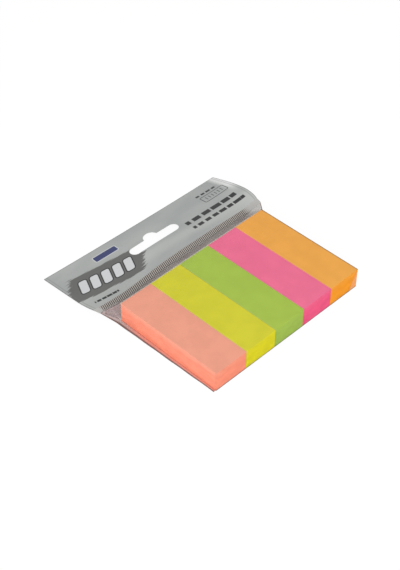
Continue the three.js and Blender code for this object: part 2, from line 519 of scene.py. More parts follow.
# %% [markdown]
# ## Pads
#
# A pad could be a box with lines painted on it. Here it is built as the stack is: one
# sheet outline is extruded a hundred times, each sheet a hundredth of a millimetre or so
# out of line with the last, with a hairline groove between two sheets. An extrusion keeps
# the face that it starts from, inside the stack, so each old face is deleted.

# %% Pads of a hundred sheets
SHEET_JITTER = 0.015
GROOVE_SHARE = 0.2
GROOVE_DEPTH = 0.012


def raise_face(bm, face, shift, grow=0.0, keep=False):
    """Extrude the top face, move it, and let it grow or shrink all round (millimetres).

    The old face goes, unless it is kept as the stack's underside.
    """
    made = bmesh.ops.extrude_face_region(bm, geom=[face])["geom"]
    top = next(part for part in made if isinstance(part, bmesh.types.BMFace))
    if not keep:
        bmesh.ops.delete(bm, geom=[face], context="FACES")
    bmesh.ops.translate(bm, vec=Vector(shift) * MM, verts=top.verts)
    if grow:
        middle = Matrix.Translation(-top.calc_center_median())
        factors = (1 + 2 * grow / TAB_WIDTH, 1 + 2 * grow / TAB_LENGTH, 1)
        bmesh.ops.scale(bm, vec=factors, space=middle, verts=top.verts)
    return top


def pad(name, centre, seed):
    draw = random.Random(seed)
    bm = bmesh.new()
    bmesh.ops.create_grid(bm, x_segments=1, y_segments=1, size=0.5)
    bmesh.ops.scale(bm, vec=(TAB_WIDTH * MM, TAB_LENGTH * MM, 1), verts=bm.verts)
    bottom = Vector((centre + lean_at(PAD_BOTTOM), 0, PAD_BOTTOM)) * MM
    bmesh.ops.translate(bm, vec=bottom, verts=bm.verts)
    bm.faces.ensure_lookup_table()
    top = bm.faces[0]
    groove = SHEET_HEIGHT * GROOVE_SHARE
    next_sheet = Vector((PAD_LEAN * SHEET_HEIGHT / BAG_HEIGHT, 0, groove * 0.5))
    aside = Vector((0, 0, 0))
    for sheet in range(SHEETS):
        next_aside = Vector((draw.uniform(-1, 1), draw.uniform(-1, 1), 0)) * SHEET_JITTER
        top = raise_face(bm, top, next_aside - aside + next_sheet,
                         GROOVE_DEPTH if sheet else 0, keep=sheet == 0)
        top = raise_face(bm, top, (0, 0, SHEET_HEIGHT - groove))
        if sheet < SHEETS - 1:
            top = raise_face(bm, top, (0, 0, groove * 0.5), -GROOVE_DEPTH)
        aside = next_aside
    bmesh.ops.recalc_face_normals(bm, faces=bm.faces)
    for face in bm.faces:
        face.material_index = 0 if abs(face.normal.z) > 0.9 else 1
    return add_piece(f"{name}_pad", bm, paper[name], f"pad_{name}")


for number, name in enumerate(COLOURS):
    report(pad(name, (number - 2) * PAD_PITCH, seed=number))

# %% [markdown]
# ## Backing sheets
#
# Under each pad lies a release-coated sheet that the lowest tab peels from. Its CAD shape
# is right, so only its material changes: off-white paper with the dull sheen of its
# coating.

# %% Release paper
def release_paper():
    material, tree = new_material("release_paper")
    point = place_mm(tree)
    cloud = noise(tree, point, 0.3, detail=3)
    tone = mix_colour(tree, ramp(tree, cloud, 0.3, 0.7), linear(243, 241, 234), linear(236, 233, 224))
    shader = node(tree, "ShaderNodeBsdfPrincipled",
                  inputs={"Base Color": tone, "Roughness": 0.45,
                          "Normal": bump(tree, noise(tree, point, 4.0), 0.00001, 0.2)})
    finish_material(tree, shader.outputs[0])
    return material


release = release_paper()
for name in COLOURS:
    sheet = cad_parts[f"backing_sheet_{name}"]
    sheet.data.materials.clear()
    sheet.data.materials.append(release)
print("backing sheets", len(COLOURS))

# %% [markdown]
# ## Film materials
#
# Clear packaging film shows itself by its gloss, and by a grey haze where it lies double or
# is bent. So the film is a transparent shader, mixed with a little grey for the haze and
# with a glossy layer that Fresnel strengthens at a low angle. At some places that grey mix
# also carries painted shade, painted highlights and a painted reflection, as set out below.
# Only the outer side of a wall is glossy, because light inside so thin a film isn't trapped
# as in a thick pane.

# %% Film shader
FILM_IOR = 1.42
FILM_GLOSS = 0.28
CLEAR = (0.99, 0.99, 0.985, 1)


def film_shader(tree, haze, colour, roughness=0.12, gloss=FILM_GLOSS, normal=None):
    clear = node(tree, "ShaderNodeBsdfTransparent", inputs={"Color": CLEAR})
    grey = node(tree, "ShaderNodeBsdfDiffuse", inputs={"Color": colour})
    shine = node(tree, "ShaderNodeBsdfAnisotropic", inputs={"Roughness": roughness})
    fresnel = node(tree, "ShaderNodeFresnel", inputs={"IOR": FILM_IOR})
    if normal:
        for target in (grey, shine, fresnel):
            tree.links.new(normal, target.inputs["Normal"])
    body = mix_shader(tree, haze, clear.outputs[0], grey.outputs[0])
    inner_side = node(tree, "ShaderNodeNewGeometry").outputs["Backfacing"]
    outer_side = calc(tree, "SUBTRACT", 1, inner_side)
    share = times(tree, fresnel.outputs[0], gloss, outer_side)
    return mix_shader(tree, share, body, shine.outputs[0])


print("film reflects", FILM_GLOSS, "of what Fresnel gives at an index of", FILM_IOR)

# %% [markdown]
# Over the pads and on the right wall the haze is next to nothing. It is thick on the slope
# behind the pads, where both films run together, and along the bottom edges. The grey on the
# slope is partly that haze and partly painted shade, and the dark line along the bottom edges
# is partly the film seen edge-on and partly painted shade. Each such place is a mask, made of
# ramps along the three axes, with its own share of haze and its own tone. Two small ones are
# the folded film at the front right corner and the crest of the slack crease by the left end
# of the weld; that crest's light tone is a painted highlight.

# %% Hazy places
CLEAR_HAZE = 0.01
HAZE = {"shoulder": 0.6, "left_shoulder_haze_and_shade": 0.42, "right_shoulder_painted_light": 0.8, "bottom": 0.9,
        "left_foot_reflection": 0.85, "right": 0.05, "right_bend_shade": 0.42, "back_bend_highlight": 0.25,
        "ridge": 0.06, "lip": 0.85, "fold": 0.2}
LEFT_END = (-38.5, -36.5)
RIGHT_END = (30, 38)
FOOT = (0.35, 0.6)
FOOT_EDGE = (0.4, 0.8)
BEND_WIDTH = 0.42
BEND_SOFT = 0.12
FOLD_CORNER = 32.2
FOLD_SOFT = 0.9
FOLD_LEAN = 0.55
RIDGE_WIDTH = 0.16
RIDGE_ENDS = (30, 32)
LIP_SHARE = 0.88
LIP_LINE = (0.2, 0.4)
LIP_LEFT = (-42, -40)
LIP_RIGHT = (-35, -33)


def foot_zones(tree, across, along, height, over_pads):
    """The bottom film close to its edges: at the front and right, where a dark line of painted shade
    lies, and at the left, where a painted peach reflection lies.
    """
    bottom = fade(tree, height, *FOOT)
    near, far = FOOT_EDGE
    by_front = fade(tree, along, near - POUCH_END, far - POUCH_END)
    by_right = ramp(tree, across, POUCH_HALF - far, POUCH_HALF - near)
    by_left = fade(tree, across, near - POUCH_HALF, far - POUCH_HALF)
    by_left = calc(tree, "MAXIMUM", calc(tree, "SUBTRACT", by_left, by_front), 0)
    foot = times(tree, bottom, calc(tree, "MAXIMUM", by_front, by_right), over_pads)
    return foot, times(tree, bottom, times(tree, by_left, over_pads))


def fold_zone(tree, across, along, height):
    """The slanting edge of the film that is folded over the front right corner."""
    front = fade(tree, along, BEND_WIDTH - POUCH_END, BEND_WIDTH - POUCH_END + BEND_SOFT)
    folded = calc(tree, "ADD", across, times(tree, height, -FOLD_LEAN))
    return times(tree, ramp(tree, folded, FOLD_CORNER, FOLD_CORNER + FOLD_SOFT), front)


def ridge_zone(tree, across, top):
    """Lines of painted highlight in the top film over the gaps between the pads."""
    from_gap = calc(tree, "SUBTRACT", across, PAD_PITCH / 2 + PAD_LEAN / 2)
    from_gap = calc(tree, "PINGPONG", from_gap, PAD_PITCH / 2)
    ridge = times(tree, fade(tree, from_gap, RIDGE_WIDTH / 2, RIDGE_WIDTH), top)
    return times(tree, ridge, fade(tree, calc(tree, "ABSOLUTE", across), *RIDGE_ENDS))


def lip_zone(tree, across, along):
    """The crest of the slack crease, where a highlight is painted."""
    crest = away(tree, along, POUCH_END + LIP_SHARE * SHOULDER_LENGTH)
    return times(tree, fade(tree, crest, *LIP_LINE), fade(tree, across, *LIP_RIGHT),
                 ramp(tree, across, *LIP_LEFT))


def pouch_zones(tree, point):
    """Masks of the film's hazy places, and of its painted light and shade."""
    across, along, height = axes(tree, point)
    behind = ramp(tree, along, TAB_LENGTH / 2 - 0.1, TAB_LENGTH / 2 + 0.5)
    over_pads = calc(tree, "SUBTRACT", 1, behind)
    right = ramp(tree, across, POUCH_HALF - 0.35, POUCH_HALF - 0.1)
    top = ramp(tree, height, BAG_HEIGHT - BEND_WIDTH - BEND_SOFT, BAG_HEIGHT - BEND_WIDTH)
    back_edge = fade(tree, away(tree, along, TAB_LENGTH / 2), 0.2, 0.35)
    # The peach at the foot of the left wall is a painted reflection of the peach side.
    foot, left_foot_reflection = foot_zones(tree, across, along, height, over_pads)
    return {
        "shoulder": times(tree, behind, ramp(tree, across, *LEFT_END)),
        "left_shoulder_haze_and_shade": times(tree, behind, fade(tree, across, *LEFT_END)),
        "bottom": foot,
        "left_foot_reflection": left_foot_reflection,
        "right": times(tree, right, over_pads),
        "back_bend_highlight": times(tree, back_edge, top),
        "ridge": times(tree, ridge_zone(tree, across, top), over_pads),
        "right_bend_shade": times(tree, right, top, over_pads),
        "right_shoulder_painted_light": times(tree, behind, ramp(tree, across, *RIGHT_END)),
        "lip": lip_zone(tree, across, along),
        "fold": fold_zone(tree, across, along, height),
    }


print("hazy places", len(HAZE))

# %% [markdown]
# The tones are laid over each other in the order of the list, so a later place covers an
# earlier one. Several of them are painted light and shade: the light right end of the slope
# is painted light, the dark left end is haze and painted shade, the dark edge tone is partly
# the film seen edge-on and partly painted shade, the light tones of the back bend, the ridges
# and the crest of the crease are painted highlights, and the peach at the foot of the left
# wall is a painted reflection of the peach side. The front wall and the bends of the left
# wall are less glossy than the rest, because no glare lies over the cut sides there on the
# real pack.

# %% Clear film
# The slope's tones are partly the grey haze of the double film and partly painted shade.
SHOULDER_HAZE_AND_SHADE_TONES = [(168, 157, 153), (182, 172, 168)]
# The dark edge tone is partly the film seen edge-on and partly painted shade.
EDGE_SHADE_TONE = (108, 94, 88)
# The light bend tone is a painted highlight on the film's bends and ridges.
BEND_HIGHLIGHT_TONE = (250, 240, 226)
# The light right end of the slope is painted light.
ZONE_TONES = {"left_shoulder_haze_and_shade": (160, 138, 138), "right_shoulder_painted_light": (234, 231, 227),
              "right": EDGE_SHADE_TONE, "back_bend_highlight": BEND_HIGHLIGHT_TONE, "ridge": BEND_HIGHLIGHT_TONE,
              "fold": (255, 206, 160), "right_bend_shade": EDGE_SHADE_TONE, "lip": (250, 245, 242),
              "bottom": EDGE_SHADE_TONE, "left_foot_reflection": (250, 150, 124)}
BEND_GLOSS = 0.15


def bend_mask(tree, point):
    """The front wall, and the top and foot of the left wall."""
    across, along, height = axes(tree, point)
    front = fade(tree, along, BEND_WIDTH - POUCH_END, 2 * BEND_WIDTH - POUCH_END)
    left = fade(tree, across, BEND_WIDTH - POUCH_HALF, 2 * BEND_WIDTH - POUCH_HALF)
    top = ramp(tree, height, BAG_HEIGHT - 2 * BEND_WIDTH, BAG_HEIGHT - BEND_WIDTH)
    foot = fade(tree, height, 2 * BEND_WIDTH, 3 * BEND_WIDTH)
    left = times(tree, left, calc(tree, "MAXIMUM", top, foot))
    return calc(tree, "MAXIMUM", front, left)


def pouch_material():
    material, tree = new_material("clear_film")
    point = place_mm(tree)
    zones = pouch_zones(tree, point)
    cloud = ramp(tree, noise(tree, point, 0.1, detail=1), 0.3, 0.7)
    colour = mix_colour(tree, cloud, *(linear(*tone) for tone in SHOULDER_HAZE_AND_SHADE_TONES))
    for zone, tone in ZONE_TONES.items():
        colour = mix_colour(tree, zones[zone], colour, linear(*tone))
    haze = CLEAR_HAZE
    for zone, mask in zones.items():
        haze = calc(tree, "MAXIMUM", haze, times(tree, mask, HAZE[zone]))
    ripple = noise(tree, point, 0.35, detail=2, stretch=(1, 0.4, 1))
    normal = bump(tree, ripple, 0.00008, 0.25)
    gloss = ramp(tree, bend_mask(tree, point), 0, 1, FILM_GLOSS, FILM_GLOSS * BEND_GLOSS)
    finish_material(tree, film_shader(tree, haze, colour, gloss=gloss, normal=normal))
    return material


clear_film = pouch_material()
print("film", clear_film.name)

# %% [markdown]
# A side seam is thicker than the walls. Its colour holds painted light and shade: a painted
# reflection of the peach paper along the pads, a greyed mauve behind them that is haze and
# painted shade, and a dark line at its outer tip, partly the fin seen edge-on and partly
# painted shade. An attribute on the mesh says how far out a point lies.

# %% Seam film
SEAM_HAZE = (0.7, 0.85)
TIP_FROM, TIP_TO = 0.45, 0.75
TIP_HAZE = 0.92
TIP_SHADE_TONE = (124, 100, 96)
WEB_REFLECTION_TONE = (232, 152, 134)
WEB_SHADE_BEHIND = [(180, 166, 164), (194, 180, 178)]
WEB_TURN = (12, 26)


def seam_material():
    material, tree = new_material("seam_film")
    point = place_mm(tree)
    flutter = noise(tree, point, 0.5, detail=2)
    out = node(tree, "ShaderNodeAttribute", attribute_name="out").outputs["Fac"]
    tip = ramp(tree, out, TIP_FROM, TIP_TO)
    haze = calc(tree, "MAXIMUM", ramp(tree, flutter, 0.2, 0.8, *SEAM_HAZE),
                times(tree, tip, TIP_HAZE))
    _, along, _ = axes(tree, point)
    # Painted shade behind the pads, and a painted reflection of the peach side along them.
    mauve_shade = mix_colour(tree, flutter, *(linear(*tone) for tone in WEB_SHADE_BEHIND))
    web = mix_colour(tree, ramp(tree, along, *WEB_TURN), linear(*WEB_REFLECTION_TONE), mauve_shade)
    colour = mix_colour(tree, tip, web, linear(*TIP_SHADE_TONE))
    finish_material(tree, film_shader(tree, haze, colour, roughness=0.2))
    return material


seam_film = seam_material()
print("film", seam_film.name)

# %% [markdown]
# ## The weld line
#
# The weld doesn't run level: the film is slack on the left, so the line sinks there and
# climbs towards the right corner. A few knots give its height, and Bezier pieces with
# handles taken from the neighbouring knots make it one smooth curve.

# %% Height of the weld
KNOT_STEPS = 32


def weld_samples():
    knots = [Vector(knot) for knot in WELD_LINE]
    samples = []
    for i in range(len(knots) - 1):
        before = knots[max(i - 1, 0)]
        after = knots[min(i + 2, len(knots) - 1)]
        start, end = knots[i], knots[i + 1]
        leave, arrive = (end - before) / 6, (after - start) / 6
        samples += interpolate_bezier(start, start + leave, end - arrive, end, KNOT_STEPS)
    return samples


SAMPLES = weld_samples()
SAMPLE_PLACES = [sample.x for sample in SAMPLES]


def weld_height(x):
    share = clamp((x - WELD_SHIFT) / WELD_HALF, -1, 1)
    after = clamp(bisect.bisect_left(SAMPLE_PLACES, share), 1, len(SAMPLES) - 1)
    a, b = SAMPLES[after - 1], SAMPLES[after]
    width = b.x - a.x
    height = a.y if width < 1e-9 else blend(a.y, b.y, (share - a.x) / width)
    return BAG_HEIGHT * height


def film_half(y):
    """Half width of the flat film at y, between the weld and the outer edge."""
    rest = clamp(1 - (y - WELD_START) / PINCH_LENGTH)
    return HEADER_HALF - (HEADER_OVERHANG - WELD_OVERHANG) * rest ** 2


print("weld height", [round(weld_height(x), 2) for x in (-40, -20, 0, 20, 40)])

# %% [markdown]
# ## Pouch
#
# The pouch is a tight sleeve with rounded edges that flattens to the weld behind the pads.
# It starts as one upright section with bevelled corners. The next cell's two helpers make
# that section, and extrude a flat region to wherever a function puts its points.

# %% Section and extrusion
POUCH_COLUMNS = 48
EDGE_ROUND = 0.4
EDGE_STEPS = 3
TOUCHING = 1e-7


def upright_section(bm, half, low, high, round_off):
    """Upright faces with rounded corners, in columns from left to right."""
    made = bmesh.ops.create_grid(bm, x_segments=POUCH_COLUMNS, y_segments=1, size=0.5)
    verts = made["verts"]
    bmesh.ops.rotate(bm, matrix=Matrix.Rotation(math.pi / 2, 3, "X"), verts=verts)
    bmesh.ops.scale(bm, vec=(2 * half * MM, 1, (high - low) * MM), verts=verts)
    bmesh.ops.translate(bm, vec=(0, 0, (low + high) / 2 * MM), verts=verts)
    corners = [v for v in verts if abs(abs(v.co.x) - half * MM) < TOUCHING]
    bmesh.ops.bevel(bm, geom=corners, offset=round_off * MM, segments=EDGE_STEPS,
                    profile=0.5, affect="VERTICES", material=-1)


def extrude_flat(bm, faces, place, keep=False):
    """Extrude a flat region, and put each new vertex where place says.

    The old faces go, unless they are kept as the cap of the other end.
    """
    made = bmesh.ops.extrude_face_region(bm, geom=faces)["geom"]
    if not keep:
        bmesh.ops.delete(bm, geom=faces, context="FACES")
    for part in made:
        if isinstance(part, bmesh.types.BMVert):
            part.co = place(part)
    return [part for part in made if isinstance(part, bmesh.types.BMFace)]


print("section of", POUCH_COLUMNS, "columns, corners of", EDGE_ROUND, "mm")

# %% [markdown]
# The section is extruded forward over the pads, drawn in for the rounded front edge, and
# extruded backwards in steps that turn it into the flat weld. There the slack film stands
# up in a low crease at the left end. The same steps, a film's thickness smaller, make the
# inner wall.

# %% Pouch film
POUCH_FILM = 0.05
LENGTH_STEPS = 10
SHOULDER_STEPS = 8
SHOULDER_END_THICKNESS = 0.13
SHOULDER_LAP = {"outer": 0.1, "inner": -0.1}
LIP_HEIGHT = 0.45
LIP_FROM, LIP_TO = -44, -30
LIP_WIDTH = 0.09


def lip(x, share):
    """Low ridge of slack film along the left end of the weld."""
    swell = math.sin(math.pi * clamp((x - LIP_FROM) / (LIP_TO - LIP_FROM)))
    return LIP_HEIGHT * swell * math.exp(-((share - LIP_SHARE) / LIP_WIDTH) ** 2)


def pouch_wall(inset, lap):
    """Closed skin of the pouch, drawn in by inset all round."""
    bm = bmesh.new()
    start = bm.verts.layers.float_vector.new("start")
    half, end = POUCH_HALF - inset, POUCH_END - inset
    middle, tall = BAG_HEIGHT / 2, BAG_HEIGHT / 2 - inset
    upright_section(bm, half, middle - tall, middle + tall, EDGE_ROUND - inset)
    for vert in bm.verts:
        vert.co.y = end * MM
        vert[start] = vert.co
    section = list(bm.faces)

    def forward(y, draw_in=0.0):
        def place(vert):
            upward = vert[start].z - middle * MM
            return Vector((vert[start].x * (1 - draw_in / half), y * MM,
                           middle * MM + upward * (1 - draw_in / tall)))
        return place

    def backward(share):
        def place(vert):
            x, z = vert[start].x / MM, vert[start].z / MM
            upward = (z - middle) / tall / 2
            x_end = WELD_SHIFT + x / half * (WELD_HALF - SHOULDER_INSET - inset)
            z_end = weld_height(x_end) + upward * (SHOULDER_END_THICKNESS - 2 * inset)
            ridge = lip(x_end, share) if upward > 0 else 0
            y = blend(end, WELD_START + lap, share)
            return Vector((blend(x, x_end, share), y, blend(z, z_end, share) + ridge)) * MM
        return place

    front = section
    for step in range(1, LENGTH_STEPS + 1):
        y = blend(end, EDGE_ROUND - end, step / LENGTH_STEPS)
        front = extrude_flat(bm, front, forward(y), keep=step == 1)
    for step in range(1, EDGE_STEPS + 1):
        angle = math.pi / 2 * step / EDGE_STEPS
        y = -end + EDGE_ROUND * (1 - math.sin(angle))
        front = extrude_flat(bm, front, forward(y, EDGE_ROUND * (1 - math.cos(angle))))
    back = [f for f in bm.faces if all(abs(v.co.y - end * MM) < TOUCHING for v in f.verts)]
    for step in range(1, SHOULDER_STEPS + 1):
        back = extrude_flat(bm, back, backward(step / SHOULDER_STEPS))
    for vert in bm.verts:
        behind = max(0, (vert.co.y / MM - end) / SHOULDER_LENGTH)
        vert.co.x += lean_at(vert.co.z / MM) * MM * max(0, 1 - behind)
    bmesh.ops.recalc_face_normals(bm, faces=bm.faces)
    return bm


def pouch():
    bm = pouch_wall(0, SHOULDER_LAP["outer"])
    inner = pouch_wall(POUCH_FILM, SHOULDER_LAP["inner"])
    bmesh.ops.reverse_faces(inner, faces=inner.faces)
    wall = bpy.data.meshes.new("inner_wall")
    inner.to_mesh(wall)
    inner.free()
    bm.from_mesh(wall)
    bpy.data.meshes.remove(wall)
    piece = add_piece("pouch_film", bm, [clear_film], "film_bag")
    smooth(piece, 50)
    return piece


report(pouch())

# %% [markdown]
# Under the second pad from the right the film has a round air hole, so that the pouch
# packs flat. It is cut through the bottom film by a short cylinder.

# %% Air hole
VENT_DIAMETER = 4
VENT_PAD = 1
VENT_SIDES = 48


def upright_cylinder(radius, depth, place, sides):
    """A closed cylinder, sizes in millimetres, for cutting."""
    bm = bmesh.new()
    bmesh.ops.create_cone(bm, cap_ends=True, segments=sides, radius1=radius * MM,
                          radius2=radius * MM, depth=depth * MM, matrix=place)
    return bm


def vent_cutter():
    place = Matrix.Translation(Vector((VENT_PAD * PAD_PITCH, -TAB_LENGTH / 4, 0)) * MM)
    return upright_cylinder(VENT_DIAMETER / 2, 2 * FILM_WALL, place, VENT_SIDES)


film = bpy.data.objects["pouch_film"]
cut(film, vent_cutter())
report(film)

# %% [markdown]
# ## Side seams
#
# The bag is one folded film, welded down both sides. Each weld leaves a thin fin: the left
# one has slid down to the table, the right one stands halfway up. A fin starts as a flat
# strip of a few rows, is bent to the line of the bag, and gets a film's thickness. Its
# root reaches a little into the rounded edge of the pouch, so that no gap shows.

# %% Side seams
SEAM_ROWS = 60
SEAM_FLUTTER = 0.06
FLUTTER_TURN = 0.55
FLUTTER_OUT = 0.7
SEAM_FILM = 0.1
TABLE_GAP = 0.001
SEAM_ROOT = {"left": 0.15, "right": 0.02}


def side_seam(side, sign, rest, seed):
    draw = random.Random(seed)
    phase = draw.uniform(0, 6)
    bm = bmesh.new()
    out_layer = bm.verts.layers.float.new("out")
    bmesh.ops.create_grid(bm, x_segments=4, y_segments=SEAM_ROWS, size=0.5)
    far = WELD_SHIFT + sign * (WELD_HALF - SHOULDER_INSET)
    for vert in bm.verts:
        out = vert.co.x + 0.5
        vert[out_layer] = out
        y = blend(-POUCH_END + EDGE_ROUND, WELD_START, vert.co.y + 0.5)
        behind = max(0, (y - POUCH_END) / SHOULDER_LENGTH)
        wall = blend(sign * POUCH_HALF + lean_at(rest), far, behind)
        ahead = min(1, (y + POUCH_END) / (2 * POUCH_END))
        width = blend(blend(SEAM_FRONT[side], SEAM_BACK[side], ahead), SEAM_WELD, behind)
        wave = SEAM_FLUTTER * math.sin(FLUTTER_TURN * y + phase) * out
        height = blend(rest, weld_height(far), behind)
        width += wave * (1 - behind) * FLUTTER_OUT
        x = wall + sign * blend(-SEAM_ROOT[side], width, out)
        vert.co = Vector((x, y, max(height, SEAM_FILM / 2 + TABLE_GAP))) * MM
    bmesh.ops.recalc_face_normals(bm, faces=bm.faces)
    piece = add_piece(f"side_seam_{side}", bm, [seam_film], "film_bag")
    thicken(piece, SEAM_FILM)
    smooth(piece)
    return piece


report(side_seam("left", -1, SEAM_THICKNESS / 2, seed=11))
report(side_seam("right", 1, BAG_HEIGHT / 2, seed=12))

# %% [markdown]
# ## Weld
#
# A hot ribbed bar closed the bag. The ribs are a wave along the weld, with its crests and
# hollows in the mesh. Over most of the width they start on the slope behind the pads, and
# they fade out at both ends of the weld.

# %% Form of the ribs
RIB_START = WELD_SHIFT - WELD_HALF + RIB_MARGIN["left"]
RIB_END = WELD_SHIFT + WELD_HALF - RIB_MARGIN["right"]
RIB_FADE = {"left": 1.2, "right": 4}
RIB_SLANT = 0.34
RIB_LEAD = 1.7
LEAD_FROM, LEAD_FULL = -35, -32.5
LEAD_FADE = 3
WELD_ROWS = 18


def rib_wave(x, y, share):
    """Height of the ribs at a point, and at a share of the weld's depth."""
    ribbed = clamp((x - RIB_START) / RIB_FADE["left"]) * clamp((RIB_END - x) / RIB_FADE["right"])
    ends = min(1, WELD_ROWS * share) * min(1, WELD_ROWS * (1 - share))
    turn = 2 * math.pi * (x - RIB_START - RIB_SLANT * (y - WELD_START)) / RIB_PITCH
    return RIB_HEIGHT * ribbed * ends * math.cos(turn)


def weld_place(across, share):
    """A point of the ribbed band: it starts on the slope behind the pads and ends flat."""
    x = WELD_SHIFT + across * WELD_HALF
    lead = clamp((x - LEAD_FROM) / (LEAD_FULL - LEAD_FROM)) * clamp((RIB_END - x) / LEAD_FADE)
    y = blend(WELD_START - RIB_LEAD * lead, WELD_END, share)
    down = min(1, (y - POUCH_END) / SHOULDER_LENGTH)
    end = WELD_SHIFT + across * film_half(y)
    x = blend(across * POUCH_HALF, end, down)
    lift = min(RIB_HEIGHT, max(0, WELD_START - y))
    z = blend(BAG_HEIGHT, weld_height(end), down) + lift + rib_wave(x, y, share)
    return Vector((x, y, z))


print("ribs from", round(RIB_START, 2), "to", round(RIB_END, 2), "mm")

# %% [markdown]
# The colour follows the same wave as the mesh: the hollows are painted dark, as painted
# shade between the ribs. Both ends and the outer edge of the weld are plain.

# %% Weld material
RIB_CREST = (186, 178, 170)
RIB_HOLLOW_SHADES = [(54, 47, 47), (68, 61, 59)]
PLAIN_WELD = (180, 178, 175)
WELD_EDGE = 0.25


def weld_material():
    material, tree = new_material("ribbed_weld")
    point = place_mm(tree)
    across, along, _ = axes(tree, point)
    slant = times(tree, calc(tree, "SUBTRACT", along, WELD_START), RIB_SLANT)
    from_start = calc(tree, "SUBTRACT", calc(tree, "SUBTRACT", across, RIB_START), slant)
    turn = times(tree, from_start, 2 * math.pi / RIB_PITCH)
    crest = ramp(tree, calc(tree, "COSINE", turn), -0.5, 0.5)
    ribbed = times(tree, ramp(tree, across, RIB_START, RIB_START + RIB_FADE["left"]),
                   fade(tree, across, RIB_END - RIB_FADE["right"], RIB_END),
                   fade(tree, along, WELD_END - WELD_EDGE, WELD_END))
    # Painted shade in the hollows between the ribs.
    hollow_shade = mix_colour(tree, noise(tree, point, 0.15), *(linear(*tone) for tone in RIB_HOLLOW_SHADES))
    rib_shade_stripes = mix_colour(tree, crest, hollow_shade, linear(*RIB_CREST))
    colour = mix_colour(tree, ribbed, linear(*PLAIN_WELD), rib_shade_stripes)
    shader = node(tree, "ShaderNodeBsdfPrincipled", inputs={"Base Color": colour, "Roughness": 0.3})
    shader.inputs["Coat Weight"].default_value = 0.3
    shader.inputs["Coat Roughness"].default_value = 0.15
    finish_material(tree, shader.outputs[0])
    return material


ribbed_weld = weld_material()
print("weld", ribbed_weld.name)

# %% [markdown]
# The band is a fine grid, six columns to a rib, whose points go where the wave puts them.
# Solidify then gives it the thickness of both films.

# %% Weld band
COLUMNS_PER_RIB = 6
WELD_FILM = 0.2


def weld_band():
    columns = round(2 * WELD_HALF / RIB_PITCH * COLUMNS_PER_RIB)
    bm = bmesh.new()
    bmesh.ops.create_grid(bm, x_segments=columns, y_segments=WELD_ROWS, size=0.5)
    for vert in bm.verts:
        vert.co = weld_place(2 * vert.co.x, vert.co.y + 0.5) * MM
    bmesh.ops.recalc_face_normals(bm, faces=bm.faces)
    piece = add_piece("weld_band", bm, [ribbed_weld], "film_bag")
    thicken(piece, WELD_FILM)
    smooth(piece, 60)
    return piece


report(weld_band())

# %% [markdown]
# ## Header form
#
# Behind the weld both films lie on each other as one flat header. A plain grid is bent to
# the header's own curve: it drops from the weld to the table, its outer edge bows in, its
# right side arches up. header_shares goes the other way, from a place to its shares of the
# width and the reach, in a few rounds of closing in.

# %% Header curve
SHARE_ROUNDS = 12


def header_place(across, along):
    """A point of the header's middle surface, in millimetres."""
    y = WELD_END + along * (HEADER_REACH - HEADER_SKEW * across - EDGE_SAG * (1 - across ** 2))
    x = across * film_half(y) + blend(WELD_SHIFT, HEADER_SHIFT, along)
    edge = EDGE_LIFT + (CORNER_LIFT - EDGE_LIFT) * across ** 2
    side = max(0, (across - ARCH_START) / (1 - ARCH_START)) ** 2
    arch = ARCH_HEIGHT * side * math.sin(math.pi * along ** ARCH_SKEW)
    z = blend(weld_height(WELD_SHIFT + across * film_half(WELD_END)), edge, along) + arch
    return Vector((x, y, z))


def header_shares(x, y):
    """The across and along that header_place was given for x and y."""
    across = x / HEADER_HALF
    for _ in range(SHARE_ROUNDS):
        reach = HEADER_REACH - HEADER_SKEW * across - EDGE_SAG * (1 - across ** 2)
        along = (y - WELD_END) / reach
        across = (x - blend(WELD_SHIFT, HEADER_SHIFT, along)) / film_half(y)
    return across, along


print("header edge", [round(v, 1) for v in header_place(-1, 1)], "to",
      [round(v, 1) for v in header_place(1, 1)])

# %% [markdown]
# The hang slot is a long bar with round ends and a hump in its middle, for a hook with a
# flag on it. Four plain prisms cut it one after the other.

# %% Slot cutters
SLOT_DEPTH = 30
SLOT_SIDES = 64


def slot_cutters():
    """Upright prisms that make the slot between them: its bar, its two ends and the hump."""
    radius = SLOT_WIDTH / 2
    straight = SLOT_LENGTH / 2 - radius
    along = 1 - SLOT_FROM_EDGE / HEADER_REACH
    middle = Vector((HEADER_SHIFT * along, WELD_END + HEADER_REACH - SLOT_FROM_EDGE, 0))
    turn = Matrix.Rotation(math.radians(SLOT_TURN), 4, "Z")
    place = Matrix.Translation(middle * MM) @ turn
    bar = bmesh.new()
    bmesh.ops.create_cube(bar, size=1)
    bmesh.ops.scale(bar, vec=(2 * straight * MM, 2 * radius * MM, SLOT_DEPTH * MM), verts=bar.verts)
    bmesh.ops.transform(bar, matrix=place, verts=bar.verts)
    cutters = [bar]
    rounds = [(-straight, 0, radius), (straight, 0, radius),
              (0, radius + HUMP_RISE - HUMP_RADIUS, HUMP_RADIUS)]
    for x, y, size in rounds:
        centre = place @ Matrix.Translation(Vector((x, y, 0)) * MM)
        cutters.append(upright_cylinder(size, SLOT_DEPTH, centre, SLOT_SIDES))
    return cutters


print("slot", SLOT_LENGTH, "x", SLOT_WIDTH, "mm")

# %% [markdown]
# ## Header print
#
# The print is drawn with distances: a rounded box is the distance to its edge, made a mask
# by a narrow ramp. Each motif has its own centre and turn on the header, and some lean.

# %% Print helpers
PRINT_SOFT = 0.12


